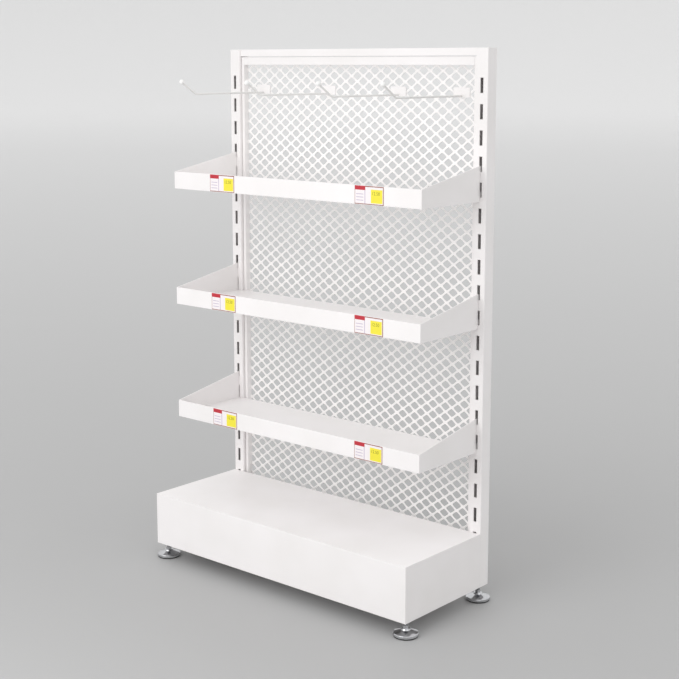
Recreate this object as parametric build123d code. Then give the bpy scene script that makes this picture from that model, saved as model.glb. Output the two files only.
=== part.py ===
"""Gondola shelving unit: two slotted uprights, a mesh back panel, three hook-on shelves, a box base and
four display hooks on its mesh, standing on levelling feet.

Millimetres. X runs to the shopper's right, -Y towards the shopper, +Z up. The origin is on the floor,
under the middle of the unit's bounding box.
"""

from build123d import *
import math
import os

# ---------------------------------------------------------------- driving dimensions

# The whole unit
total_height = 1500.0
bay = 900.0  # from the slot row of one upright to the slot row of the other
base_clearance = 44.0  # floor to the underside of the base
base_height = 152.0
base_depth = 330.0  # base in front of the uprights

# Uprights: slotted rectangular tubes
upright_width = 38.0
upright_depth = 40.0
upright_wall = 2.0
upright_corner = 2.5
foot_plate = 3.0  # plate welded into the bottom of each upright
slot_width = 9.0  # room for the tongues of two neighbouring bays
slot_length = 39.0
slot_pitch = 68.0
first_slot_drop = 77.0  # top of the unit to the top of the first slot
cap_lip = 2.0
cap_insert = 12.0
cap_wall = 1.5
cap_clearance = 0.15
least_round = 0.2  # smallest rounding inside a bent corner
overrun = 1.0  # how far a cut runs past the face it opens, or a block into the one it joins

# Rails that tie the uprights together: C-channels, open to the rear
rail_recess = 6.0  # rail front behind the uprights' front faces
rail_depth = 28.0
rail_wall = 1.5
rail_end_plate = 2.0
top_rail_height = 20.0
bottom_rail_height = 40.0
bottom_rail_drop = 46.0  # base top down to the top of the bottom rail
bolt_radius = 3.0
bolt_length = 12.0
bolt_head_across = 10.0
bolt_head_height = 4.0
bolt_inset = 6.0  # bolt centres in from the ends of a rail's end plate
thread_clearance = 0.1
nut_across = 10.0
nut_height = 5.0

# Back panel: a frame of rectangular tube with diamond mesh welded to its rear
panel_recess = 9.0
panel_tube_depth = 16.0
panel_stile_width = 10.0
panel_member_height = 23.0
panel_side_gap = 1.0
panel_top_gap = 2.0
panel_tube_corner = 1.0
panel_tube_wall = 1.2
lug_thickness = 2.0
lug_reach = 6.0
lug_height = 20.0
lug_clearance = 0.5
lug_count = 3
mesh_pitch_x = 42.5
mesh_pitch_z = 30.5
mesh_strand = 6.0
mesh_layer = 0.75  # each of the two layers of strands
mesh_phase_x = -12.5  # a row of bonds, from the unit's middle: where the sheet was cut
mesh_edge_inset = 1.0  # sheet inside the panel frame's outline

# Hook tongues that hold the shelves and the base sides in the slots
tongue_neck = 15.0
tongue_drop = 8.0  # nose below the slot's lower edge
tongue_nose = 6.5
wall_clearance = 0.4
seat_gap = 0.3

# Shelves: a tray with a front lip between two tapered brackets
shelf_count = 3
first_shelf_slot = 4
shelf_depth = 252.0
shelf_sheet = 1.2
lip_height = 49.0
lip_hem = 8.0
lip_return = 14.0
deck_rise = 10.5  # bracket's lower edge to the deck's top face
deck_skirt = 9.0
deck_reach_back = 6.0  # deck past the uprights' front faces, between them
deck_side_clearance = 2.0  # deck beside each upright
deck_front_clearance = 1.0  # wide part of the deck in front of the uprights
bracket_thickness = 2.5
bracket_offset = 0.3  # bracket's outer face inside the slot's centre line
bracket_below_slot = 11.0
stiffener_web = 30.0
stiffener_flange = 10.0
stiffener_sheet = 1.0
stiffener_end_gap = 2.4  # ends of the channel from the deck's side skirts

# Price labels on the shelf lips
label_width = 96.0
label_height = 47.5
label_thickness = 0.5
label_centres = (-254.0, 281.0)

# Base: side plates, front panel and a lift-off deck
base_sheet = 1.5
base_edge_round = 0.75
deck_edge_round = 0.5
side_sheet = 2.0
side_flange = 20.0
side_rear_flange = 34.0
side_foot_flange = 44.0
front_return = 12.0
front_tongue_height = 20.0
front_tongue_width = 8.0
front_tongue_drop = 6.0
deck_lip = 24.0
deck_lip_inset = 4.0
base_stiffener_web = 60.0
base_stiffener_end_gap = 1.5
rest_gap = 0.2  # base deck above the side plates, where it rests

# Levelling feet
foot_radius = 33.5
foot_front_inset = 27.0  # foot centre behind the base's front
sole_height = 4.0
sole_inset = 1.0
pad_rim = 7.0
pad_neck_radius = 11.0
pad_shoulder = 2.0  # cone's top beyond the neck
pad_rim_round = 1.5
pad_cone_height = 7.0
pad_height = 17.0
socket_radius = 7.0
socket_height = 5.0
stem_neck_radius = 4.8
stem_radius = 6.0
stem_length = 96.0
stem_hex_across = 14.0
stem_hex_height = 8.0
running_clearance = 0.1
foot_nut_across = 19.0
foot_nut_height = 10.0
lock_nut_height = 7.0

# Display hooks on the mesh
hook_places = (-352.5, -97.5, 157.5, 370.0)  # wanted from the unit's middle; bonds near them are used
hook_row = 5  # half mesh pitches below the panel's top member
hook_plate_height = 26.0
hook_plate_margin = 5.0  # plate beyond each claw
hook_plate_thickness = 2.0
hook_plate_clearance = 0.6
hook_plate_above_bond = 18.0
claw_thickness = 2.5
claw_neck = 8.0
claw_drop = 4.0
claw_nose = 3.0
wire_radius = 2.75
wire_above_plate_edge = 3.5
hook_reach = 281.0  # mesh to the bend
hook_tip_length = 62.0
hook_tip_angle = 33.0
hook_bend_radius = 14.0
ball_radius = 7.0
ball_clearance = 0.1

# ---------------------------------------------------------------- places worked out from the sizes

slot_x = bay / 2
outer_x = slot_x + upright_width / 2
inner_x = slot_x - upright_width / 2
foot_front = base_depth - foot_front_inset
foot_rear = upright_depth / 2
front_reach = max(base_depth, foot_front + foot_radius)
rear_reach = max(upright_depth, foot_rear + foot_radius)
face_y = (front_reach - rear_reach) / 2  # front faces of the uprights
front_y = face_y - base_depth

tube_top = total_height - cap_lip
base_top = base_clearance + base_height
panel_front = face_y + panel_recess
panel_back = panel_front + panel_tube_depth
panel_top = total_height - top_rail_height - panel_top_gap
panel_bottom = base_top - bottom_rail_drop
panel_x = inner_x - panel_side_gap
lug_middle_y = panel_front + panel_tube_depth / 2
lug_y = (lug_middle_y - lug_thickness / 2, lug_middle_y + lug_thickness / 2)
mesh_top = panel_top - panel_member_height  # lower edge of the top member
mesh_back = panel_back + 2 * mesh_layer

first_slot_bottom = total_height - first_slot_drop - slot_length
foot_nut_top = base_clearance + foot_plate + foot_nut_height
slot_count = int((first_slot_bottom - foot_nut_top) // slot_pitch) + 1
slots_above_base = int((first_slot_bottom - base_top) // slot_pitch) + 1
shelf_spacing = (slots_above_base - first_shelf_slot + 1) // shelf_count
shelf_slots = [first_shelf_slot + shelf_spacing * n for n in range(shelf_count)]
bracket_rear_height = bracket_below_slot + slot_pitch + tongue_neck


def slot_bottom(index):
    """Height of the lower edge of a slot, counted from 0 at the top."""
    return first_slot_bottom - index * slot_pitch


# ---------------------------------------------------------------- helpers


def block(x, y, z):
    """A box from three (low, high) pairs."""
    size = [high - low for low, high in (x, y, z)]
    middle = [(high + low) / 2 for low, high in (x, y, z)]
    return Pos(*middle) * Box(*size)


def mirrored(low, high, side):
    """An X range on the right, or its mirror image on the left when side is -1."""
    return (low, high) if side > 0 else (-high, -low)


def prism_x(outline, x):
    """A closed (y, z) outline pushed along X between the two values of x."""
    face = make_face(Plane.YZ.offset(x[0]) * Polyline(*outline, close=True))
    return extrude(face, amount=x[1] - x[0], dir=(1, 0, 0))


turns = {"X": Rot(0, 90, 0), "Z": Rot(0, 0, 0)}


def rod(centre, radius, length, axis="Z"):
    """A cylinder that starts at centre and runs along +X or +Z."""
    base = (Align.CENTER, Align.CENTER, Align.MIN)
    return Pos(*centre) * turns[axis] * Cylinder(radius, length, align=base)


def hexagon(centre, across_flats, height, axis="Z"):
    """A hexagonal prism that starts at centre and runs along +X or +Z."""
    outline = RegularPolygon(across_flats / 2, 6, major_radius=False)
    return Pos(*centre) * turns[axis] * extrude(outline, amount=height)


def tongue(x, start_y, slot_edge):
    """A hook tongue: a neck through a slot, seated on its lower edge, and a nose that drops behind it."""
    inside = face_y + upright_wall + wall_clearance
    low = slot_edge + seat_gap
    high = slot_edge + tongue_neck
    outline = [
        (start_y, low),
        (inside, low),
        (inside, slot_edge - tongue_drop),
        (inside + tongue_nose / 2, slot_edge - tongue_drop),
        (inside + tongue_nose, low),
        (inside + tongue_nose, high - tongue_nose / 2),
        (inside + tongue_nose / 2, high),
        (start_y, high),
    ]
    return prism_x(outline, x)


def save(node, shape):
    """Writes one sub-part."""
    export_step(shape, f"parts/{node}.step")


os.makedirs("parts", exist_ok=True)


# ---------------------------------------------------------------- uprights


def panel_lug_heights():
    """Lower edges of the lugs that hold the back panel in the uprights."""
    gap = (panel_top - panel_bottom) / lug_count
    return [panel_bottom + gap * (n + 0.5) - lug_height / 2 for n in range(lug_count)]


def rail_bolt_places():
    """(y, z) of the bolts at each end of the rails."""
    top_z = total_height - top_rail_height / 2
    low_y = face_y + rail_recess + rail_wall + bolt_inset
    high_y = face_y + rail_recess + rail_depth - bolt_inset
    middle_y = (low_y + high_y) / 2
    low_z = panel_bottom - bottom_rail_height + rail_wall + bolt_inset
    high_z = panel_bottom - rail_wall - bolt_inset
    return [(low_y, top_z), (high_y, top_z), (middle_y, low_z), (middle_y, high_z)]


def make_upright(side):
    """A slotted tube, closed at the bottom by the plate that takes the foot."""
    x = mirrored(inner_x, outer_x, side)
    y = (face_y, face_y + upright_depth)
    outside = block(x, y, (base_clearance, tube_top))
    outside = fillet(outside.edges().filter_by(Axis.Z), upright_corner)
    bore_x = (x[0] + upright_wall, x[1] - upright_wall)
    bore_y = (y[0] + upright_wall, y[1] - upright_wall)
    bore = block(bore_x, bore_y, (base_clearance + foot_plate, tube_top))
    bore_corner = max(upright_corner - upright_wall, least_round)
    tube = outside - fillet(bore.edges().filter_by(Axis.Z), bore_corner)
    cuts = []
    for index in range(slot_count):
        low = slot_bottom(index)
        width = mirrored(slot_x - slot_width / 2, slot_x + slot_width / 2, side)
        cuts.append(block(width, (y[0] - overrun, bore_y[0] + overrun), (low, low + slot_length)))
    wall = mirrored(inner_x - overrun, inner_x + upright_wall + overrun, side)
    lug_slot = (lug_y[0] - lug_clearance, lug_y[1] + lug_clearance)
    for low in panel_lug_heights():
        cuts.append(block(wall, lug_slot, (low, low + lug_height + lug_clearance)))
    for bolt_y, bolt_z in rail_bolt_places():
        cuts.append(rod((wall[0], bolt_y, bolt_z), bolt_radius + thread_clearance, wall[1] - wall[0], "X"))
    foot = (side * slot_x, face_y + foot_rear, base_clearance - overrun)
    cuts.append(rod(foot, stem_radius + running_clearance, foot_plate + 2 * overrun))
    return tube - cuts


def make_cap(side):
    """A plastic cap pushed into the top of an upright; its plug is open towards the rail's bolts."""
    x = mirrored(inner_x, outer_x, side)
    y = (face_y, face_y + upright_depth)
    lip = block(x, y, (tube_top, total_height))
    lip = fillet(lip.edges().filter_by(Axis.Z), upright_corner)
    lip = fillet(lip.faces().sort_by(Axis.Z)[-1].edges(), cap_lip / 2)
    inset = upright_wall + cap_clearance
    depth = (tube_top - cap_insert, tube_top)
    plug = block((x[0] + inset, x[1] - inset), (y[0] + inset, y[1] - inset), depth)
    inset += cap_wall
    hollow = block((x[0] + inset, x[1] - inset), (y[0] + inset, y[1] - inset), depth)
    bolt_room = block(mirrored(inner_x, inner_x + bolt_length, side), (y[0] + inset, y[1] - inset), depth)
    return lip + (plug - hollow - bolt_room)


for side, name in ((-1, "left"), (1, "right")):
    save(f"upright_{name}", make_upright(side))
    save(f"upright_cap_{name}", make_cap(side))


# ---------------------------------------------------------------- rails and their bolts


def make_rail(low_z, high_z):
    """A C-channel between the uprights, with welded end plates."""
    y = (face_y + rail_recess, face_y + rail_recess + rail_depth)
    x = (-inner_x, inner_x)
    web = block(x, (y[0], y[0] + rail_wall), (low_z, high_z))
    lower = block(x, y, (low_z, low_z + rail_wall))
    upper = block(x, y, (high_z - rail_wall, high_z))
    rail = web + lower + upper
    for side in (-1, 1):
        rail += block(mirrored(inner_x - rail_end_plate, inner_x, side), y, (low_z, high_z))
        for bolt_y, bolt_z in rail_bolt_places():
            if low_z < bolt_z < high_z:
                start = min(side * inner_x, side * (inner_x - rail_end_plate)) - overrun
                hole = bolt_radius + thread_clearance
                rail -= rod((start, bolt_y, bolt_z), hole, rail_end_plate + 2 * overrun, "X")
    return rail


def make_rail_bolt(side, y, z):
    """A hexagon bolt from inside a rail's end plate into the upright."""
    seat = side * (inner_x - rail_end_plate)
    head = hexagon((min(seat, seat - side * bolt_head_height), y, z), bolt_head_across, bolt_head_height, "X")
    shank = rod((min(seat, seat + side * bolt_length), y, z), bolt_radius, bolt_length, "X")
    return head + shank


def make_rail_nut(side, y, z):
    """A weld nut on the inside of the upright's wall."""
    seat = side * (inner_x + upright_wall)
    start = min(seat, seat + side * nut_height)
    body = hexagon((start, y, z), nut_across, nut_height, "X")
    hole_start = (start - overrun, y, z)
    return body - rod(hole_start, bolt_radius + thread_clearance, nut_height + 2 * overrun, "X")


save("top_rail", make_rail(total_height - top_rail_height, total_height))
save("bottom_rail", make_rail(panel_bottom - bottom_rail_height, panel_bottom))
bolt_seats = [(side, y, z) for side in (-1, 1) for y, z in rail_bolt_places()]
save("rail_bolts", Compound([make_rail_bolt(*seat) for seat in bolt_seats]))
save("rail_weld_nuts", Compound([make_rail_nut(*seat) for seat in bolt_seats]))


# ---------------------------------------------------------------- back panel


def panel_tube(x, z, long_axis):
    """One member of the panel frame: a tube, open at its ends, with eased front edges."""
    tube = block(x, (panel_front, panel_back), z)
    front_edges = tube.edges().filter_by(long_axis).sort_by(Axis.Y)[:2]
    tube = fillet(front_edges, panel_tube_corner)
    bore_y = (panel_front + panel_tube_wall, panel_back - panel_tube_wall)
    if long_axis == Axis.Z:
        return tube - block((x[0] + panel_tube_wall, x[1] - panel_tube_wall), bore_y, z)
    return tube - block(x, bore_y, (z[0] + panel_tube_wall, z[1] - panel_tube_wall))


def make_panel_stile(side):
    """An upright member of the panel frame with the lugs that sit in the upright's wall."""
    x = mirrored(panel_x - panel_stile_width, panel_x, side)
    stile = panel_tube(x, (panel_bottom, panel_top), Axis.Z)
    lug_x = mirrored(panel_x - panel_tube_wall, panel_x + lug_reach, side)
    for low in panel_lug_heights():
        stile += block(lug_x, lug_y, (low, low + lug_height))
    return stile


def mesh_strands(direction, y):
    """One layer of parallel strands, clipped to the sheet: direction 1 rises to the right, -1 to the left."""
    left, right = mesh_edge_inset - panel_x, panel_x - mesh_edge_inset
    low, high = panel_bottom + mesh_edge_inset, panel_top - mesh_edge_inset
    sheet = make_face(Polyline((left, low), (right, low), (right, high), (left, high), close=True))
    slope = direction * mesh_pitch_z / mesh_pitch_x
    half_rise = mesh_strand / 2 * math.hypot(1, slope)
    rise_left, rise_right = (slope * (x - mesh_phase_x) for x in (left, right))
    first = math.floor((low - max(rise_left, rise_right) - mesh_top) / mesh_pitch_z)
    last = math.ceil((high - min(rise_left, rise_right) - mesh_top) / mesh_pitch_z)
    strands = []
    for step in range(first, last + 1):
        middle = mesh_top + step * mesh_pitch_z
        band = make_face(
            Polyline(
                (left, middle + rise_left - half_rise),
                (right, middle + rise_right - half_rise),
                (right, middle + rise_right + half_rise),
                (left, middle + rise_left + half_rise),
                close=True,
            )
        )
        clipped = band & sheet
        if clipped is not None and clipped.area > mesh_strand**2:
            strands.append(Pos(0, y, 0) * Rot(90, 0, 0) * extrude(clipped, amount=-mesh_layer))
    return strands


member_x = (panel_stile_width - panel_x, panel_x - panel_stile_width)
member_low_z = (panel_bottom, panel_bottom + panel_member_height)
save("panel_stile_left", make_panel_stile(-1))
save("panel_stile_right", make_panel_stile(1))
save("panel_top_member", panel_tube(member_x, (mesh_top, panel_top), Axis.X))
save("panel_bottom_member", panel_tube(member_x, member_low_z, Axis.X))
front_layer = mesh_strands(1, panel_back)
rear_layer = mesh_strands(-1, panel_back + mesh_layer)
save("panel_mesh", Compound(front_layer + rear_layer))


# ---------------------------------------------------------------- shelves


def make_shelf_deck(low_z):
    """The tray: deck, front lip with a hem and a return, side and rear skirts, from one sheet."""
    lip_front = face_y - shelf_depth
    lip_back = lip_front + shelf_sheet
    bracket_out = slot_x - bracket_offset
    between = bracket_out - bracket_thickness
    top = low_z + deck_rise
    under = top - shelf_sheet
    skirt_low = top - deck_skirt
    rear_edge = face_y - deck_front_clearance
    tongue_x = inner_x - deck_side_clearance
    tongue_y = face_y + deck_reach_back
    lip = block((-bracket_out, bracket_out), (lip_front, lip_back), (low_z, low_z + lip_height))
    hem_z = (low_z + lip_height - lip_hem, low_z + lip_height)
    hem = block((-between, between), (lip_front, lip_back + shelf_sheet), hem_z)
    lip += hem
    top_edges = lip.edges().filter_by(Axis.X).group_by(Axis.Z)[-1]
    lip = fillet(top_edges.sort_by(Axis.Y)[:1], shelf_sheet / 2)
    lip += block((-between, between), (lip_front, lip_front + lip_return), (low_z, low_z + shelf_sheet))
    deck = block((-between, between), (lip_front, rear_edge), (under, top))
    deck += block((-tongue_x, tongue_x), (rear_edge - overrun, tongue_y), (under, top))
    deck += block((-tongue_x, tongue_x), (tongue_y - shelf_sheet, tongue_y), (skirt_low, top))
    for side in (-1, 1):
        skirt_x = mirrored(between - shelf_sheet, between, side)
        deck += block(skirt_x, (lip_back, rear_edge), (skirt_low, top))
    return lip + deck


def make_shelf_bracket(side, low_z):
    """The tapered side plate, with two hook tongues in the upright's slots."""
    x = mirrored(slot_x - bracket_offset - bracket_thickness, slot_x - bracket_offset, side)
    rear = face_y - seat_gap
    front = face_y - shelf_depth + shelf_sheet
    outline = [
        (front, low_z),
        (rear, low_z),
        (rear, low_z + bracket_rear_height),
        (front, low_z + lip_height),
    ]
    plate = prism_x(outline, x)
    lower_edge = low_z + bracket_below_slot
    for slot_edge in (lower_edge, lower_edge + slot_pitch):
        plate += tongue(x, rear - overrun, slot_edge)
    return plate


def make_stiffener(web, flange, sheet, half_length, middle_y, top_z, low_z):
    """A top-hat channel spot-welded under a deck."""
    half = web / 2
    outline = [
        (middle_y - half - flange, top_z),
        (middle_y - half, top_z),
        (middle_y - half, low_z + sheet),
        (middle_y + half, low_z + sheet),
        (middle_y + half, top_z),
        (middle_y + half + flange, top_z),
        (middle_y + half + flange, top_z - sheet),
        (middle_y + half + sheet, top_z - sheet),
        (middle_y + half + sheet, low_z),
        (middle_y - half - sheet, low_z),
        (middle_y - half - sheet, top_z - sheet),
        (middle_y - half - flange, top_z - sheet),
    ]
    return prism_x(outline, (-half_length, half_length))


def make_labels(low_z):
    """The two price labels on a shelf's lip."""
    lip_front = face_y - shelf_depth
    middle_z = low_z + lip_height / 2
    z = (middle_z - label_height / 2, middle_z + label_height / 2)
    labels = []
    for centre in label_centres:
        x = (centre - label_width / 2, centre + label_width / 2)
        labels.append(block(x, (lip_front - label_thickness, lip_front), z))
    return Compound(labels)


def make_shelf_stiffener(low_z):
    """The channel under a shelf's deck, between its side skirts."""
    top = low_z + deck_rise
    half_length = slot_x - bracket_offset - bracket_thickness - shelf_sheet - stiffener_end_gap
    return make_stiffener(
        web=stiffener_web,
        flange=stiffener_flange,
        sheet=stiffener_sheet,
        half_length=half_length,
        middle_y=face_y - shelf_depth / 2,
        top_z=top - shelf_sheet,
        low_z=top - deck_skirt,
    )


for number, slot in enumerate(shelf_slots, start=1):
    shelf_low = slot_bottom(slot) - bracket_below_slot
    save(f"shelf_{number}_deck", make_shelf_deck(shelf_low))
    save(f"shelf_{number}_bracket_left", make_shelf_bracket(-1, shelf_low))
    save(f"shelf_{number}_bracket_right", make_shelf_bracket(1, shelf_low))
    save(f"shelf_{number}_stiffener", make_shelf_stiffener(shelf_low))
    save(f"shelf_{number}_labels", make_labels(shelf_low))


# ---------------------------------------------------------------- base

skin_back = front_y + base_sheet
flange_back = skin_back + side_sheet
base_deck_under = base_top - base_sheet
side_top = base_deck_under - rest_gap
deck_lip_x = outer_x - side_rear_flange - deck_lip_inset
front_tongue_x = outer_x - side_flange / 2 - side_sheet / 2


def front_tongue_heights():
    """Lower edges of the slots that take the front panel's tongues."""
    return (base_clearance + base_height / 4, base_clearance + base_height * 3 / 4)


def make_base_side(side):
    """A side plate folded inwards all round, hooked into the upright, with a foot's hole below."""
    skin_x = outer_x - side_sheet
    plate = block(mirrored(skin_x, outer_x, side), (skin_back, face_y), (base_clearance, side_top))
    flange_x = mirrored(outer_x - side_flange, outer_x, side)
    plate += block(flange_x, (skin_back, flange_back), (base_clearance, side_top))
    plate += block(flange_x, (skin_back, face_y), (side_top - side_sheet, side_top))
    rear_x = mirrored(outer_x - side_rear_flange, outer_x, side)
    plate += block(rear_x, (face_y - side_sheet, face_y), (base_clearance, side_top))
    foot_x = mirrored(outer_x - side_foot_flange, outer_x, side)
    plate += block(foot_x, (skin_back, face_y), (base_clearance, base_clearance + side_sheet))
    hook_x = mirrored(slot_x - bracket_thickness / 2, slot_x + bracket_thickness / 2, side)
    slots_in_reach = [n for n in range(slot_count) if slot_bottom(n) < side_top - tongue_neck]
    for index in slots_in_reach:
        plate += tongue(hook_x, face_y - side_sheet, slot_bottom(index))
    reach = front_tongue_width / 2 + wall_clearance
    slot_x_range = mirrored(front_tongue_x - reach, front_tongue_x + reach, side)
    for low in front_tongue_heights():
        slot_z = (low, low + front_tongue_height + wall_clearance)
        plate -= block(slot_x_range, (skin_back - overrun, flange_back + overrun), slot_z)
    foot = (side * slot_x, face_y - foot_front, base_clearance - overrun)
    return plate - rod(foot, stem_radius + running_clearance, side_sheet + 2 * overrun)


def make_base_front():
    """The front panel: a skin with a return below and four tongues that hook into the side plates."""
    panel = block((-outer_x, outer_x), (front_y, skin_back), (base_clearance, side_top))
    outer_edges = panel.edges().group_by(Axis.Y)[0]
    panel = fillet(outer_edges, base_edge_round)
    return_x = outer_x - side_foot_flange - wall_clearance
    return_y = (front_y + base_edge_round, front_y + front_return)
    return_z = (base_clearance, base_clearance + base_sheet)
    panel += block((-return_x, return_x), return_y, return_z)
    half_width = front_tongue_width / 2
    inside = flange_back + wall_clearance
    for side in (-1, 1):
        x = mirrored(front_tongue_x - half_width, front_tongue_x + half_width, side)
        for low in front_tongue_heights():
            neck = (low + wall_clearance / 2, low + front_tongue_height - front_tongue_drop)
            nose = (low - front_tongue_drop, low + front_tongue_height - front_tongue_drop)
            panel += block(x, (skin_back, inside), neck)
            panel += block(x, (inside, inside + side_sheet), nose)
    return panel


def make_base_deck():
    """The lift-off deck: a sheet with four lips folded down inside the base."""
    deck = block((-outer_x, outer_x), (front_y, face_y - seat_gap), (base_deck_under, base_top))
    deck = fillet(deck.faces().sort_by(Axis.Z)[-1].edges(), deck_edge_round)
    lip_y = (flange_back + deck_lip_inset, face_y - side_sheet - deck_lip_inset)
    lip_z = (base_deck_under - deck_lip, base_top - base_sheet / 2)
    ring = block((-deck_lip_x, deck_lip_x), lip_y, lip_z)
    inner_y = (lip_y[0] + base_sheet, lip_y[1] - base_sheet)
    ring -= block((base_sheet - deck_lip_x, deck_lip_x - base_sheet), inner_y, lip_z)
    return deck + ring


def make_base_deck_stiffener():
    """The channel under the base deck, between its folded lips."""
    return make_stiffener(
        web=base_stiffener_web,
        flange=stiffener_flange,
        sheet=base_sheet,
        half_length=deck_lip_x - base_sheet - base_stiffener_end_gap,
        middle_y=(flange_back + face_y) / 2,
        top_z=base_deck_under,
        low_z=base_deck_under - deck_lip,
    )


save("base_side_left", make_base_side(-1))
save("base_side_right", make_base_side(1))
save("base_front_panel", make_base_front())
save("base_deck", make_base_deck())
save("base_deck_stiffener", make_base_deck_stiffener())


# ---------------------------------------------------------------- levelling feet

foot_places = {
    "front_left": (-slot_x, face_y - foot_front, side_sheet),
    "front_right": (slot_x, face_y - foot_front, side_sheet),
    "rear_left": (-slot_x, face_y + foot_rear, foot_plate),
    "rear_right": (slot_x, face_y + foot_rear, foot_plate),
}
cone_base = sole_height + pad_rim
cone_top = cone_base + pad_cone_height
pad_top = sole_height + pad_height
socket_top = cone_top + running_clearance
hex_low = pad_top + running_clearance
hex_high = hex_low + stem_hex_height


def revolved(outline, x, y):
    """An (r, z) outline turned about the vertical axis through (x, y)."""
    face = make_face(Plane.XZ * Polyline(*outline, close=True))
    return Pos(x, y, 0) * revolve(face, Axis.Z)


def make_foot_pad(x, y):
    """The chromed cone, with the socket that the stem's head turns in."""
    hole = stem_neck_radius + running_clearance
    room = socket_radius + running_clearance
    socket_low = socket_top - socket_height - 2 * running_clearance
    outline = [
        (0, sole_height),
        (foot_radius, sole_height),
        (foot_radius, cone_base - pad_rim_round),
        (foot_radius - pad_rim_round, cone_base),
        (pad_neck_radius + pad_shoulder, cone_top),
        (pad_neck_radius, pad_top),
        (hole, pad_top),
        (hole, socket_top),
        (room, socket_top),
        (room, socket_low),
        (0, socket_low),
    ]
    return revolved(outline, x, y)


def make_foot_sole(x, y):
    """The rubber sole under the cone."""
    radius = foot_radius - sole_inset
    outline = [
        (0, 0),
        (radius - sole_inset, 0),
        (radius, sole_inset),
        (radius, sole_height),
        (0, sole_height),
    ]
    return revolved(outline, x, y)


def make_foot_stem(x, y):
    """The threaded stem: a head in the pad's socket, a neck, a hexagon for the spanner and the thread."""
    head_top = socket_top - running_clearance
    head = rod((x, y, head_top - socket_height), socket_radius, socket_height)
    neck = rod((x, y, head_top), stem_neck_radius, hex_low - head_top)
    nut = hexagon((x, y, hex_low), stem_hex_across, stem_hex_height)
    thread = rod((x, y, hex_high), stem_radius - running_clearance, stem_length - hex_high)
    return head + neck + nut + thread


def make_foot_nut(x, y, low, height):
    """A nut on the stem's thread."""
    body = hexagon((x, y, low), foot_nut_across, height)
    return body - rod((x, y, low - overrun), stem_radius, height + 2 * overrun)


weld_nuts = []
lock_nuts = []
for place, (x, y, plate) in foot_places.items():
    save(f"foot_pad_{place}", make_foot_pad(x, y))
    save(f"foot_sole_{place}", make_foot_sole(x, y))
    save(f"foot_stem_{place}", make_foot_stem(x, y))
    weld_nuts.append(make_foot_nut(x, y, base_clearance + plate, foot_nut_height))
    lock_nuts.append(make_foot_nut(x, y, base_clearance - lock_nut_height, lock_nut_height))
save("foot_weld_nuts", Compound(weld_nuts))
save("foot_lock_nuts", Compound(lock_nuts))


# ---------------------------------------------------------------- display hooks


bond_z = mesh_top - hook_row * mesh_pitch_z / 2
strand_slope = mesh_pitch_z / mesh_pitch_x
bond_rise = mesh_strand / 2 * math.hypot(1, strand_slope) + claw_thickness / 2 * strand_slope
claw_seat = bond_z + bond_rise + seat_gap
plate_top = bond_z + hook_plate_above_bond
plate_low = plate_top - hook_plate_height
plate_back_y = panel_back - hook_plate_clearance
plate_front_y = plate_back_y - hook_plate_thickness
wire_z = plate_low + wire_above_plate_edge
hook_plate_half = mesh_pitch_x / 2 + hook_plate_margin


def hook_middle(place):
    """X midway between two neighbouring bonds: the pair nearest to the wanted place, clear of the stiles."""
    reach = panel_x - panel_stile_width - hook_plate_half - running_clearance
    first = math.ceil((-reach - mesh_phase_x) / mesh_pitch_x)
    last = math.floor((reach - mesh_phase_x) / mesh_pitch_x)
    middles = [mesh_phase_x + n * mesh_pitch_x for n in range(first, last + 1)]
    return min(middles, key=lambda middle: abs(middle - place))


def make_hook_plate(middle):
    """The back plate with two claws that drop behind the mesh at neighbouring bonds."""
    x = (middle - hook_plate_half, middle + hook_plate_half)
    plate = block(x, (plate_front_y, plate_back_y), (plate_low, plate_top))
    plate = fillet(plate.edges().filter_by(Axis.Y), hook_plate_margin / 2)
    behind = mesh_back + wall_clearance
    for claw_x in (middle - mesh_pitch_x / 2, middle + mesh_pitch_x / 2):
        x = (claw_x - claw_thickness / 2, claw_x + claw_thickness / 2)
        neck_top = claw_seat + claw_neck
        plate += block(x, (plate_front_y, behind + claw_nose), (claw_seat, neck_top))
        plate += block(x, (behind, behind + claw_nose), (bond_z - claw_drop, neck_top))
    return plate


def hook_path(middle):
    """The wire's centre line: straight out from the plate, one bend, and a rising tip."""
    bend_y = panel_back - hook_reach
    angle = math.radians(hook_tip_angle)
    start = (middle, plate_front_y, wire_z)
    bend = (middle, bend_y, wire_z)
    tip = (middle, bend_y - hook_tip_length * math.cos(angle), wire_z + hook_tip_length * math.sin(angle))
    return FilletPolyline(start, bend, tip, radius=hook_bend_radius)


def make_hook_wire(middle):
    """The round wire welded to the plate."""
    path = hook_path(middle)
    section = Plane(origin=path @ 0, z_dir=path % 0) * Circle(wire_radius)
    return sweep(section, path=path)


def make_hook_ball(middle):
    """The plastic ball pushed onto the end of the wire."""
    path = hook_path(middle)
    centre = path @ 1
    bore = Plane(origin=centre, z_dir=-(path % 1))
    hole_base = (Align.CENTER, Align.CENTER, Align.MIN)
    hole = bore * Cylinder(wire_radius + ball_clearance, 2 * ball_radius, align=hole_base)
    return Pos(*centre) * Sphere(ball_radius) - hole


for number, place in enumerate(hook_places, start=1):
    middle = hook_middle(place)
    save(f"hook_{number}_plate", make_hook_plate(middle))
    save(f"hook_{number}_wire", make_hook_wire(middle))
    save(f"hook_{number}_ball", make_hook_ball(middle))
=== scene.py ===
import math

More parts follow.
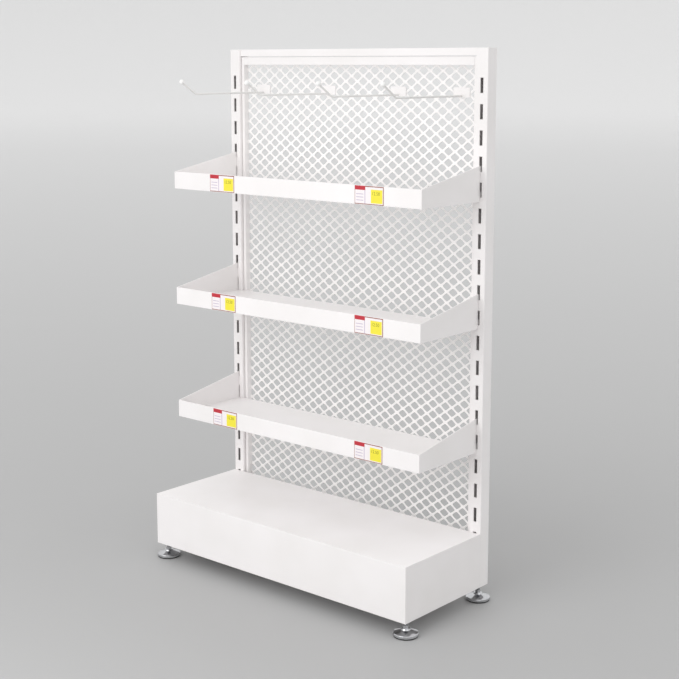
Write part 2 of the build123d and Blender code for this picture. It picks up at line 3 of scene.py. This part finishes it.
import bmesh
import bpy
import numpy as np
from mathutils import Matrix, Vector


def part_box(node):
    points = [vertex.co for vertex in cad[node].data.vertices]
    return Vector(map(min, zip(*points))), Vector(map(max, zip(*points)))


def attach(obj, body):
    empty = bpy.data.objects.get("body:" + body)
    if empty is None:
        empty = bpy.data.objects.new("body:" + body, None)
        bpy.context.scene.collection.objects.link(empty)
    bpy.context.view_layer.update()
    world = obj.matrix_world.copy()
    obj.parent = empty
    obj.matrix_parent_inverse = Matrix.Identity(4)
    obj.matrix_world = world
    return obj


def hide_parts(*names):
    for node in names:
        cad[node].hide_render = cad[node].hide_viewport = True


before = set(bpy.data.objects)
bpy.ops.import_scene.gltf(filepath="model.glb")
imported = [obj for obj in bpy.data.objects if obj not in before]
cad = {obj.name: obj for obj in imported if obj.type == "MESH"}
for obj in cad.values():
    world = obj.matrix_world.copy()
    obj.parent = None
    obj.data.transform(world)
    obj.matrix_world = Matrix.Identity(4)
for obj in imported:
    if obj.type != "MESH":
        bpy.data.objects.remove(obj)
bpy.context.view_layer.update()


# ------------------------------------------------------------------ uprights and the rails between them
# Cold-rolled steel tube and channel, sprayed with white polyester powder and baked. The tubes carry a row of
# slots in front; the rails are bolted between them, and a moulded cap closes the top of each tube.

MM = 0.001
NOISE_LOW, NOISE_HIGH = 0.3, 0.7  # all but the rarest values of the noise
SHARE, FIRST, SECOND, COLOUR = 0, 6, 7, 2  # a colour mix: its three inputs and its output


def linear(hex_colour):
    """sRGB hex to linear RGBA: c / 12.92 up to 0.04045, and ((c + 0.055) / 1.055) ** 2.4 above it."""
    c = np.array([int(hex_colour[i:i + 2], 16) for i in (1, 3, 5)]) / 255
    return (*np.where(c <= 0.04045, c / 12.92, ((c + 0.055) / 1.055) ** 2.4), 1.0)


def add(material, kind, inputs=None, **settings):
    """One node: settings are its properties; inputs maps its sockets to values or to other nodes' outputs."""
    node = material.node_tree.nodes.new(kind)
    for name, value in settings.items():
        setattr(node, name, value)
    for socket, value in (inputs or {}).items():
        if isinstance(value, bpy.types.NodeSocket):
            material.node_tree.links.new(value, node.inputs[socket])
        else:
            node.inputs[socket].default_value = value
    return node


def new_material(name):
    """An empty node material and its object coordinates, which are the unit's own, in metres."""
    material = bpy.data.materials.new(name)
    material.use_nodes = True
    material.node_tree.nodes.clear()
    return material, add(material, "ShaderNodeTexCoord").outputs["Object"]


def finish_material(material, sockets):
    """The surface shader, with its sockets, and the material's output."""
    shader = add(material, "ShaderNodeBsdfPrincipled", sockets)
    add(material, "ShaderNodeOutputMaterial", {"Surface": shader.outputs["BSDF"]})
    return material


def spread(material, where, size, low, high, detail=2.0):
    """Noise with features of that size in metres, spread over low to high."""
    noise = add(material, "ShaderNodeTexNoise", {"Vector": where, "Scale": 1 / size, "Detail": detail})
    limits = {"Value": noise.outputs["Fac"], "From Min": NOISE_LOW, "From Max": NOISE_HIGH, "To Min": low,
              "To Max": high}
    return add(material, "ShaderNodeMapRange", limits).outputs["Result"]


GUN_PASS = 160 * MM
HANDLING = 45 * MM
ORANGE_PEEL, ORANGE_PEEL_DEPTH = 1.4 * MM, 0.012 * MM
SHEET_WAVE, SHEET_WAVE_DEPTH = 30 * MM, 0.12 * MM


def powder_coat(name, colour="#F7F4F4", shade="#F2EFEE", gloss=0.36):
    """Baked polyester powder: satin white, its fine orange peel on a slow waviness of the sheet, and a tone that
    drifts by a hair over a hand's breadth where the gun passed. Gloss is its roughness."""
    material, where = new_material(name)
    drift = spread(material, where, GUN_PASS, 0.0, 1.0)
    tone = {SHARE: drift, FIRST: linear(colour), SECOND: linear(shade)}
    tone = add(material, "ShaderNodeMix", tone, data_type="RGBA").outputs[COLOUR]
    rough = spread(material, where, HANDLING, gloss - 0.04, gloss + 0.05)
    peel = spread(material, where, ORANGE_PEEL, 0.0, 1.0)
    wave = spread(material, where, SHEET_WAVE, 0.0, 1.0, detail=0.0)
    slow = add(material, "ShaderNodeBump", {"Height": wave, "Distance": SHEET_WAVE_DEPTH, "Strength": 0.5})
    bump = {"Height": peel, "Distance": ORANGE_PEEL_DEPTH, "Strength": 0.8, "Normal": slow.outputs["Normal"]}
    normal = add(material, "ShaderNodeBump", bump).outputs["Normal"]
    return material, where, {"Base Color": tone, "Roughness": rough, "Normal": normal, "IOR": 1.5}


def dress(material, *names):
    """Gives CAD nodes that finish."""
    for name in names:
        for slot in cad[name].material_slots:
            slot.material = material


SLOT_WIDTH = 9 * MM
SLOT_LENGTH = 39 * MM
SLOT_PITCH = 68 * MM
SLOT_ROW_X = 450 * MM
SLOT_MIDDLE_Z = 1403.5 * MM  # the uppermost slot
TUBE_FRONT_Y = 141.5 * MM
RIM_START, RIM_END = 0.2 * MM, 1.8 * MM  # the rubbed rim fades between these distances from a slot
RIM_WEAR = 0.55
RIM_DULLING = 0.25


def slotted_coat():
    """The powder coat of a slotted tube: the punched edges hold less powder, and hooked brackets rub them, so a
    narrow rim round each slot is a little greyer and duller than the rest."""
    material, where, sockets = powder_coat("powder_coated_slotted_tube")
    axes = add(material, "ShaderNodeSeparateXYZ", {"Vector": where}).outputs

    def reckon(operation, a, b=0.0, c=0.0):
        return add(material, "ShaderNodeMath", {0: a, 1: b, 2: c}, operation=operation).outputs[0]

    across = reckon("ABSOLUTE", reckon("SUBTRACT", reckon("ABSOLUTE", axes["X"]), SLOT_ROW_X))
    up = reckon("SUBTRACT", axes["Z"], SLOT_MIDDLE_Z - SLOT_PITCH / 2)
    along = reckon("ABSOLUTE", reckon("SUBTRACT", reckon("FLOORED_MODULO", up, SLOT_PITCH), SLOT_PITCH / 2))
    beside = reckon("SUBTRACT", across, SLOT_WIDTH / 2)
    beyond = reckon("SUBTRACT", along, SLOT_LENGTH / 2)
    distance = reckon("MAXIMUM", beside, beyond)
    limits = {"Value": distance, "From Min": RIM_START, "From Max": RIM_END, "To Min": RIM_WEAR, "To Max": 0.0}
    rim = add(material, "ShaderNodeMapRange", limits).outputs["Result"]
    rim = reckon("MULTIPLY", rim, reckon("LESS_THAN", axes["Z"], SLOT_MIDDLE_Z + SLOT_PITCH / 2))
    rim = reckon("MULTIPLY", rim, reckon("LESS_THAN", axes["Y"], TUBE_FRONT_Y + 1 * MM))
    worn = {SHARE: rim, FIRST: sockets["Base Color"], SECOND: linear("#C9C7C3")}
    sockets["Base Color"] = add(material, "ShaderNodeMix", worn, data_type="RGBA").outputs[COLOUR]
    sockets["Roughness"] = reckon("MULTIPLY_ADD", rim, RIM_DULLING, sockets["Roughness"])
    return finish_material(material, sockets)


def coated(name, **looks):
    """A plain powder-coated finish."""
    material, _, sockets = powder_coat(name, **looks)
    return finish_material(material, sockets)


def moulded_plastic(name, colour):
    """Injection-moulded ABS: soft sheen, a fine spark-eroded grain 0.4 mm across drawn at 0.8 mm so that it shows."""
    material, where = new_material(name)
    flow = spread(material, where, 20 * MM, 0.0, 0.12)
    tone = {SHARE: flow, FIRST: linear(colour), SECOND: linear("#D9D7D2")}
    tone = add(material, "ShaderNodeMix", tone, data_type="RGBA").outputs[COLOUR]
    grain = spread(material, where, 0.8 * MM, 0.0, 1.0)
    bump = add(material, "ShaderNodeBump", {"Height": grain, "Distance": 0.02 * MM, "Strength": 0.6})
    rough = spread(material, where, 6 * MM, 0.38, 0.5)
    sockets = {"Base Color": tone, "Roughness": rough, "Normal": bump.outputs["Normal"], "IOR": 1.53}
    return finish_material(material, sockets)


dress(slotted_coat(), "upright_left", "upright_right")
dress(coated("powder_coated_channel", gloss=0.4), "top_rail", "bottom_rail")
dress(moulded_plastic("moulded_white_cap", "#F1F0EE"), "upright_cap_left", "upright_cap_right")


# ------------------------------------------------------------------ bolts, nuts and their plating
# Hexagon bolts and weld nuts of carbon steel, zinc plated and passivated: a dull silver with a faint blue and
# straw iridescence, and the fine marks of the tumbling barrel.


def zinc_plate():
    """Passivated zinc over steel."""
    material, where = new_material("zinc_plated_steel")
    cast = spread(material, where, 5 * MM, 0.0, 1.0, detail=4.0)
    tone = {SHARE: cast, FIRST: linear("#B9BEC4"), SECOND: linear("#C6C0AE")}
    tone = add(material, "ShaderNodeMix", tone, data_type="RGBA").outputs[COLOUR]
    marks = spread(material, where, 0.7 * MM, 0.0, 1.0, detail=4.0)
    bump = add(material, "ShaderNodeBump", {"Height": marks, "Distance": 0.03 * MM, "Strength": 0.5})
    rough = spread(material, where, 2 * MM, 0.28, 0.45)
    sockets = {"Base Color": tone, "Metallic": 1.0, "Roughness": rough, "Normal": bump.outputs["Normal"]}
    return finish_material(material, sockets)


dress(zinc_plate(), "rail_bolts", "rail_weld_nuts", "foot_weld_nuts")


# ------------------------------------------------------------------ back panel: tube frame and diamond mesh
# A frame of rectangular steel tube, with a sheet of flattened expanded steel welded to its rear and coated with
# it. The sheet is slit and stretched, so its strands meet at bonds; powder rounds every edge of the openings.

MESH_PHASE_X = -12.5 * MM  # a column of bonds stands here
PITCH = np.array([42.5, 30.5]) * MM  # across and up
STRAND = np.array([7.7, 6.3]) * MM  # with its powder: beside an opening, and above and below it
ROUND = 1.3 * MM  # how far in from an opening's edge the strand's face starts to fall away
FALL = 0.6 * MM  # how far it has fallen at the edge
STRAIGHT, EASED = 2.0, 1.7  # powers of a diamond's sides
OUTLINE_POINTS = 12
MERGE = 0.02 * MM  # points nearer than this are one


def diamond(angle, share, power):
    """A diamond of so many shares of a pitch, across and up: x = a sgn(cos t)|cos t|^p, z = b sgn(sin t)|sin t|^p.
    The power p is STRAIGHT for straight sides and EASED for eased corners."""
    turn = np.stack([np.cos(angle), np.sin(angle)], axis=-1)
    return np.sign(turn) * np.abs(turn) ** power * share * PITCH / 2


def expanded_sheet(low, high, bond):
    """Openings at the centres of a diamond lattice, past the sheet's edges. Each is a cell of five rings: the
    strands' centre lines in front, the eased front edge, the opening's front and back outlines, and the centre
    lines behind."""
    first = np.floor((low[::2] - bond) / PITCH) - 1
    last = np.ceil((high[::2] - bond) / PITCH) + 2
    bonds = np.stack(np.meshgrid(*map(np.arange, first, last), indexing="ij"), axis=-1).reshape(-1, 2) * PITCH + bond
    centres = np.concatenate([bonds + PITCH * (0.5, 0), bonds + PITCH * (0, 0.5)])
    slant = np.hypot(*PITCH) / np.prod(PITCH)
    opening = 1 - STRAND * slant
    eased = opening + 2 * ROUND * slant
    front, back = low[1], high[1]
    rings = [(1.0, front, STRAIGHT), (eased, front + 0.15 * FALL, EASED), (opening, front + FALL, EASED),
             (opening, back, EASED), (1.0, back, STRAIGHT)]
    angle = np.arange(OUTLINE_POINTS) / OUTLINE_POINTS * 2 * np.pi
    points = []
    for share, y, power in rings:
        place = centres[:, None] + diamond(angle, share, power)
        points.append(np.insert(place, 1, y, axis=-1))
    vertices = np.stack(points, axis=1)  # cell, ring, point
    index = np.arange(vertices[..., 0].size).reshape(vertices.shape[:3])
    following = np.roll(index, -1, axis=2)
    quads = np.stack([index[:, :-1], index[:, 1:], following[:, 1:], following[:, :-1]], axis=-1)
    return vertices.reshape(-1, 3), quads.reshape(-1, 4)


def new_piece(name, vertices, faces, material, smooth=False):
    """A mesh object at the origin, with its place in its mesh."""
    mesh = bpy.data.meshes.new(name)
    mesh.from_pydata(vertices.tolist(), [], faces.tolist())
    mesh.materials.append(material)
    if smooth:
        mesh.shade_smooth()
    piece = bpy.data.objects.new(name, mesh)
    bpy.context.scene.collection.objects.link(piece)
    return piece


def weld(piece, shears=()):
    """Joins points that lie together, drops faces that have no area left, cuts along each shear, which is a point
    and an outward direction, and closes the cut strands. Then every face is turned outwards."""
    work = bmesh.new()
    work.from_mesh(piece.data)
    bmesh.ops.remove_doubles(work, verts=work.verts, dist=MERGE)
    bmesh.ops.dissolve_degenerate(work, dist=MERGE, edges=work.edges)
    for place, outwards in shears:
        every = [*work.verts, *work.edges, *work.faces]
        cut = bmesh.ops.bisect_plane(work, geom=every, plane_co=place, plane_no=outwards, clear_outer=True)
        edges = [part for part in cut["geom_cut"] if isinstance(part, bmesh.types.BMEdge)]
        ends = bmesh.ops.holes_fill(work, edges=edges)["faces"]
        for end in ends:
            end.smooth = False
    bmesh.ops.recalc_face_normals(work, faces=work.faces)
    work.to_mesh(piece.data)
    work.free()


mesh_low, mesh_high = map(np.array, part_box("panel_mesh"))
first_bond = np.array([MESH_PHASE_X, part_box("panel_top_member")[0].z])
# painted light: the sheet's powder is given a whiter colour than the frame's, to make up for the shade under the
# shelves
panel_sheet = new_piece("panel_mesh_sheet", *expanded_sheet(mesh_low, mesh_high, first_bond),
                        coated("expanded_sheet_coat_painted_brighter", colour="#FBF9F8", shade="#F6F4F3", gloss=0.42),
                        smooth=True)
weld(panel_sheet, shears=[(mesh_low, (-1, 0, 0)), (mesh_low, (0, 0, -1)),
                          (mesh_high, (1, 0, 0)), (mesh_high, (0, 0, 1))])
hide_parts("panel_mesh")
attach(panel_sheet, "frame")

dress(coated("powder_coated_panel_tube", gloss=0.38),
      "panel_stile_left", "panel_stile_right", "panel_top_member", "panel_bottom_member")


# ------------------------------------------------------------------ shelves
# Each shelf is a folded tray of 1.2 mm sheet between two tapered side plates, with a channel spot-welded below.
# The side plates' tongues drop into the slots; all of it is powder coated in one colour.

SHELVES = (1, 2, 3)
shelf_coat = coated("powder_coated_shelf_sheet", gloss=0.34)
bracket_coat = coated("powder_coated_side_plate", gloss=0.36)
for number in SHELVES:
    dress(shelf_coat, f"shelf_{number}_deck", f"shelf_{number}_stiffener")
    dress(bracket_coat, f"shelf_{number}_bracket_left", f"shelf_{number}_bracket_right")


# ------------------------------------------------------------------ price cards
# Two printed cards stand on each shelf's front lip: white card with a red header bar, a thin frame line, a
# small field on the left and a yellow price field with plain figures.

CARD_WIDTH = 96 * MM
FIGURES = "12.50"
FIGURE_HEIGHT = 12 * MM
FIGURES_RIGHT, FIGURES_UP = 57 * MM, 25 * MM  # from the card's lower left corner
FIGURE_THICKNESS = 0.08 * MM
FIGURE_MIDDLE = 0.01 * MM  # behind the card's face
CARD_COLUMNS = np.array([0, 1.2, 5, 29, 33, 35.5, 54, 92, 93.6, 96]) * MM
CARD_ROWS = np.array([0, 1.8, 4, 9, 11, 17, 19, 25, 27, 36.5, 39, 45.1, 47.5]) * MM
STOCK, RED, LINE, YELLOW, TEXT = range(5)


def card_print(x, z):
    """Which ink lies at a place on the card, from its lower left corner; later rules print over earlier ones."""
    x, z = np.broadcast_arrays(x / MM, z / MM)
    ink = np.full(x.shape, STOCK)
    ink[(x > 5) & (x < 29) & (z > 9) & (z < 27) & ((z - 9) % 8 < 2)] = TEXT
    ink[(x > 33) & (x < 35.5)] = TEXT
    ink[(x > 54) & (x < 92) & (z > 4) & (z < 39)] = YELLOW
    ink[(z < 1.8) | (z > 45.1) | (x < 1.2) | (x > 93.6)] = LINE
    ink[(x < 35.5) & (z > 36.5)] = RED
    return ink


def card_slab(left, low_z, front, back):
    """A closed slab: a front divided at the print's lines, and a back and four sides divided the same way."""
    x, z = left + CARD_COLUMNS, low_z + CARD_ROWS
    columns, rows = len(x), len(z)
    grid_x, grid_z = np.meshgrid(x, z, indexing="ij")
    layers = [np.stack([grid_x, np.full_like(grid_x, y), grid_z], axis=-1).reshape(-1, 3) for y in (front, back)]
    index = np.arange(columns * rows).reshape(columns, rows)
    faces = np.stack([index[:-1, :-1], index[1:, :-1], index[1:, 1:], index[:-1, 1:]], axis=-1).reshape(-1, 4)
    rim = np.concatenate([index[:-1, 0], index[-1, :-1], index[:0:-1, -1], index[0, :0:-1]])
    after = np.roll(rim, -1)
    behind = columns * rows
    sides = np.stack([rim + behind, after + behind, after, rim], axis=-1)
    middle_x = (CARD_COLUMNS[:-1] + CARD_COLUMNS[1:])[:, None] / 2
    middle_z = (CARD_ROWS[:-1] + CARD_ROWS[1:])[None, :] / 2
    inks = card_print(middle_x, middle_z).reshape(-1)
    all_faces = np.concatenate([faces, faces[:, ::-1] + behind, sides])
    return np.concatenate(layers), all_faces, np.concatenate([inks, np.full(len(all_faces) - len(faces), STOCK)])


def printed(name, colour, second, gloss=0.5):
    """Offset ink on coated card: a matt colour broken by the card's fibres, about 0.6 mm across."""
    material, where = new_material(name)
    fibre = spread(material, where, 0.6 * MM, 0.0, 0.5, detail=5.0)
    tone = {SHARE: fibre, FIRST: linear(colour), SECOND: linear(second)}
    tone = add(material, "ShaderNodeMix", tone, data_type="RGBA").outputs[COLOUR]
    bump = add(material, "ShaderNodeBump", {"Height": fibre, "Distance": 0.02 * MM, "Strength": 0.4})
    rough = spread(material, where, 3 * MM, gloss - 0.05, gloss + 0.05)
    sockets = {"Base Color": tone, "Roughness": rough, "Normal": bump.outputs["Normal"], "IOR": 1.48}
    return finish_material(material, sockets)


card_inks = [printed("card_stock", "#F6F1F2", "#EFE6EA"), printed("red_ink", "#C4303C", "#B7283A"),
             printed("frame_line_ink", "#97503F", "#8B4A3C"), printed("yellow_ink", "#F5E93E", "#EFE04A"),
             printed("lilac_ink", "#CBBFD2", "#C2B6CA")]
figure_ink = printed("olive_ink", "#8E8A22", "#7F7B1E")


def figures(name, left, low_z, y):
    """Plain figures, made a mesh from the built-in typeface and then put in place, standing upright."""
    curve = bpy.data.curves.new(name, "FONT")
    curve.body = FIGURES
    curve.size = FIGURE_HEIGHT
    curve.extrude = FIGURE_THICKNESS / 2
    maker = bpy.data.objects.new(name + "_maker", curve)
    bpy.context.scene.collection.objects.link(maker)
    bpy.context.view_layer.update()
    mesh = bpy.data.meshes.new_from_object(maker.evaluated_get(bpy.context.evaluated_depsgraph_get()))
    bpy.data.objects.remove(maker)
    flat = np.empty(len(mesh.vertices) * 3)
    mesh.vertices.foreach_get("co", flat)
    flat = flat.reshape(-1, 3)
    placed = np.stack([left + flat[:, 0], y - flat[:, 2], low_z + flat[:, 1]], axis=-1)
    mesh.vertices.foreach_set("co", placed.reshape(-1))
    return mesh


def price_cards(number):
    """Both cards of one shelf, and their figures."""
    low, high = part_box(f"shelf_{number}_labels")
    parts = [card_slab(left, low.z, low.y, high.y) for left in (low.x, high.x - CARD_WIDTH)]
    count = len(parts[0][0])
    vertices = np.concatenate([part[0] for part in parts])
    faces = np.concatenate([parts[0][1], parts[1][1] + count])
    piece = new_piece(f"shelf_{number}_price_cards", vertices, faces, card_inks[STOCK])
    for ink in card_inks[1:]:
        piece.data.materials.append(ink)
    piece.data.polygons.foreach_set("material_index", np.concatenate([part[2] for part in parts]).astype(np.int32))
    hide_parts(f"shelf_{number}_labels")
    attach(piece, f"shelf_{number}")
    for side, left in (("left", low.x), ("right", high.x - CARD_WIDTH)):
        mesh = figures(f"figures_{number}_{side}", left + FIGURES_RIGHT, low.z + FIGURES_UP, low.y + FIGURE_MIDDLE)
        mesh.materials.clear()
        mesh.materials.append(figure_ink)
        numerals = bpy.data.objects.new(f"shelf_{number}_price_figures_{side}", mesh)
        bpy.context.scene.collection.objects.link(numerals)
        weld(numerals)
        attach(numerals, f"shelf_{number}")


for number in SHELVES:
    price_cards(number)


# ------------------------------------------------------------------ base
# Folded side plates hook into the uprights, a front panel hooks into them, and a lift-off deck of 1.5 mm sheet
# lies on top, stiffened by a channel. White powder coat throughout.

dress(coated("powder_coated_base_panel", gloss=0.33), "base_side_left", "base_side_right", "base_front_panel")
dress(coated("powder_coated_base_deck", gloss=0.35), "base_deck", "base_deck_stiffener")


# ------------------------------------------------------------------ levelling feet
# A stamped steel cone with bright chrome plate turns on the ball end of a threaded stem; a black rubber sole is
# bonded below it, and a plated nut locks the stem under the base.

THREAD_PITCH = 1.75 * MM
THREAD_START = 29.1 * MM
THREAD_DEPTH = 0.5 * MM


def chrome_plate(name, threaded):
    """Decorative chrome over nickel: a mirror with the faintest waviness, fogged a little by handling. On a stem
    the rolled thread shows as ridges one pitch apart above the spanner flats."""
    material, where = new_material(name)
    film = spread(material, where, 9 * MM, 0.0, 1.0, detail=4.0)
    tone = {SHARE: film, FIRST: linear("#D4D5D7"), SECOND: linear("#C3C4C7")}
    tone = add(material, "ShaderNodeMix", tone, data_type="RGBA").outputs[COLOUR]
    rough = spread(material, where, 4 * MM, 0.05, 0.14, detail=4.0)
    wave = spread(material, where, 7 * MM, 0.0, 1.0)
    bump = add(material, "ShaderNodeBump", {"Height": wave, "Distance": 0.05 * MM, "Strength": 0.4})
    if threaded:
        z = add(material, "ShaderNodeSeparateXYZ", {"Vector": where}).outputs["Z"]
        turns = {0: z, 1: 2 * math.pi / THREAD_PITCH}
        phase = add(material, "ShaderNodeMath", turns, operation="MULTIPLY").outputs[0]
        ridge = add(material, "ShaderNodeMath", {0: phase}, operation="SINE").outputs[0]
        above = add(material, "ShaderNodeMath", {0: z, 1: THREAD_START}, operation="GREATER_THAN").outputs[0]
        height = add(material, "ShaderNodeMath", {0: ridge, 1: above}, operation="MULTIPLY").outputs[0]
        cut = {"Height": height, "Distance": THREAD_DEPTH, "Strength": 1.0, "Normal": bump.outputs["Normal"]}
        bump = add(material, "ShaderNodeBump", cut)
    sockets = {"Base Color": tone, "Metallic": 1.0, "Roughness": rough, "Normal": bump.outputs["Normal"]}
    return finish_material(material, sockets)


def black_rubber():
    """Moulded nitrile rubber: dull, near black, with a bloom of grey dust."""
    material, where = new_material("moulded_black_rubber")
    dust = spread(material, where, 12 * MM, 0.0, 0.6, detail=5.0)
    tone = {SHARE: dust, FIRST: linear("#222224"), SECOND: linear("#3C3B3A")}
    tone = add(material, "ShaderNodeMix", tone, data_type="RGBA").outputs[COLOUR]
    grain = spread(material, where, 1 * MM, 0.0, 1.0, detail=4.0)
    bump = add(material, "ShaderNodeBump", {"Height": grain, "Distance": 0.05 * MM, "Strength": 0.6})
    sockets = {"Base Color": tone, "Roughness": 0.75, "Normal": bump.outputs["Normal"], "IOR": 1.5}
    return finish_material(material, sockets)


FEET = ("front_left", "front_right", "rear_left", "rear_right")
plain_chrome = chrome_plate("chrome_plated_cone", threaded=False)
thread_chrome = chrome_plate("chrome_plated_thread", threaded=True)
sole_rubber = black_rubber()
for foot in FEET:
    dress(plain_chrome, f"foot_pad_{foot}")
    dress(thread_chrome, f"foot_stem_{foot}")
    dress(sole_rubber, f"foot_sole_{foot}")
dress(plain_chrome, "foot_lock_nuts")


# ------------------------------------------------------------------ display hooks
# Bent 5.5 mm wire welded to a small plate whose two claws hang on the mesh, powder coated, with a moulded ball
# pushed over the wire's end to guard the shopper.

wire_coat = coated("powder_coated_wire", colour="#EFEEEC", shade="#E4E3E1", gloss=0.34)
plate_coat = coated("powder_coated_hook_plate", gloss=0.36)
ball_plastic = moulded_plastic("moulded_white_ball", "#F6F6F5")
for number in (1, 2, 3, 4):
    dress(wire_coat, f"hook_{number}_wire")
    dress(plate_coat, f"hook_{number}_plate")
    dress(ball_plastic, f"hook_{number}_ball")


# ------------------------------------------------------------------ the studio
# A seamless matt bowl, its paint pale grey under the unit and paler further out as painted shade, in even white air,
# lit by broad suns and a softbox in front of the shelves. The camera stands at the height of the unit's top and dips
# a little.

FLOOR_RINGS = (0.0, 1.0, 4.0, 12.0)
BEND_START = 30.0
BEND_RADIUS = 12.0
BEND_POINTS = 24
ROUND_POINTS = 96
BANDS_START = 2.0  # metres added to the distance before its logarithm is taken
BAND_DOUBLINGS = 6.0  # doublings of that sum over the whole row of greys


def studio_bowl():
    """A flat disc that bends up into a wall, turned round the Z axis: r = start + R sin a and z = R (1 - cos a),
    for a from 0 to a right angle."""
    bend = np.linspace(0, np.pi / 2, BEND_POINTS)
    r = np.concatenate([FLOOR_RINGS, BEND_START + BEND_RADIUS * np.sin(bend)])
    z = np.concatenate([np.zeros(len(FLOOR_RINGS)), BEND_RADIUS * (1 - np.cos(bend))])
    turn = np.arange(ROUND_POINTS) / ROUND_POINTS * 2 * np.pi
    high = np.repeat(z[:, None], ROUND_POINTS, axis=1)
    points = np.stack([np.outer(r, np.cos(turn)), np.outer(r, np.sin(turn)), high], axis=-1)
    index = np.arange(high.size).reshape(high.shape)
    following = np.roll(index, -1, axis=1)
    quads = np.stack([index[:-1], index[1:], following[1:], following[:-1]], axis=-1)
    return points.reshape(-1, 3), quads.reshape(-1, 4)


def bowl_paint_with_painted_shade():
    """Matt studio paint carrying painted shade, the same all round: a grey for each logarithm of the distance from
    the unit, darkest under it and paler outwards, standing in for the studio light's falloff, with a slow unevenness
    900 mm across."""
    material, where = new_material("bowl_paint_with_painted_shade")
    away = add(material, "ShaderNodeVectorMath", {0: where, 1: (0, 0, 0)}, operation="DISTANCE").outputs["Value"]
    uneven = spread(material, where, 900 * MM, BANDS_START - 0.04, BANDS_START + 0.04)
    away = add(material, "ShaderNodeMath", {0: away, 1: uneven}, operation="ADD").outputs[0]
    doublings = add(material, "ShaderNodeMath", {0: away, 1: 2.0}, operation="LOGARITHM").outputs[0]
    share = add(material, "ShaderNodeMapRange", {"Value": doublings, "From Max": BAND_DOUBLINGS}).outputs["Result"]
    ramp = add(material, "ShaderNodeValToRGB", {"Fac": share})
    # painted shade: greys from darkest near the unit to palest far out, a little darker again at the far wall
    painted_shade_greys = ((0.0, "#B4B4B4"), (0.25, "#B6B6B6"), (0.45, "#C5C5C5"), (0.62, "#D1D1D1"), (0.74, "#DADADA"),
             (0.85, "#E6E6E6"), (0.89, "#DEDEDE"))
    for place, _ in painted_shade_greys[1:-1]:
        ramp.color_ramp.elements.new(place)
    for element, (place, grey) in zip(ramp.color_ramp.elements, painted_shade_greys):
        element.position = place
        element.color = linear(grey)
    return finish_material(material, {"Base Color": ramp.outputs["Color"], "Roughness": 0.5, "IOR": 1.2})


bowl = new_piece("studio_bowl", *studio_bowl(), bowl_paint_with_painted_shade(), smooth=True)
weld(bowl)
bowl.visible_shadow = False  # low suns shine over its wall


def broad_sun(name, azimuth, elevation, irradiance, width):
    """Parallel light from a compass angle (0 is the front, 90 the right) and height, softened over width degrees."""
    light = bpy.data.lights.new(name, "SUN")
    light.energy = irradiance
    light.angle = math.radians(width)
    lamp = bpy.data.objects.new(name, light)
    bpy.context.scene.collection.objects.link(lamp)
    lamp.rotation_euler = (math.radians(90 - elevation), 0, math.radians(azimuth))
    return lamp


broad_sun("key", azimuth=-12, elevation=9, irradiance=0.27, width=25)
broad_sun("high", azimuth=-15, elevation=45, irradiance=0.27, width=40)
broad_sun("fill", azimuth=80, elevation=15, irradiance=0.26, width=60)

SOFTBOX_PLACE = (0.0, -2.0, 1.2)
SOFTBOX_TURN = math.radians(84)  # from straight down
softbox = bpy.data.lights.new("front_softbox", "AREA")
softbox.shape = "DISK"
softbox.size = 1.4
softbox.energy = 11.6
lamp = bpy.data.objects.new("front_softbox", softbox)
lamp.location = SOFTBOX_PLACE
lamp.rotation_euler = (SOFTBOX_TURN, 0, 0)
bpy.context.scene.collection.objects.link(lamp)

AIR_STRENGTH = 0.90
world = bpy.data.worlds.new("studio_air")
world.use_nodes = True
air = world.node_tree.nodes["Background"].inputs
air["Color"].default_value = linear("#FFFFFF")
air["Strength"].default_value = AIR_STRENGTH
bpy.context.scene.world = world
bpy.context.scene.view_settings.view_transform = "Standard"

CAMERA_PLACE = (2.509, -2.822, 1.459)
CAMERA_TURN = math.radians(40.65)
CAMERA_DIP = math.radians(9)
camera = bpy.data.cameras.new("camera")
camera.lens = 72.83
camera.sensor_width = 36.0
camera.shift_y = -0.086
viewer = bpy.data.objects.new("camera", camera)
viewer.location = CAMERA_PLACE
viewer.rotation_euler = (math.pi / 2 - CAMERA_DIP, 0, CAMERA_TURN)
bpy.context.scene.collection.objects.link(viewer)
bpy.context.scene.camera = viewer
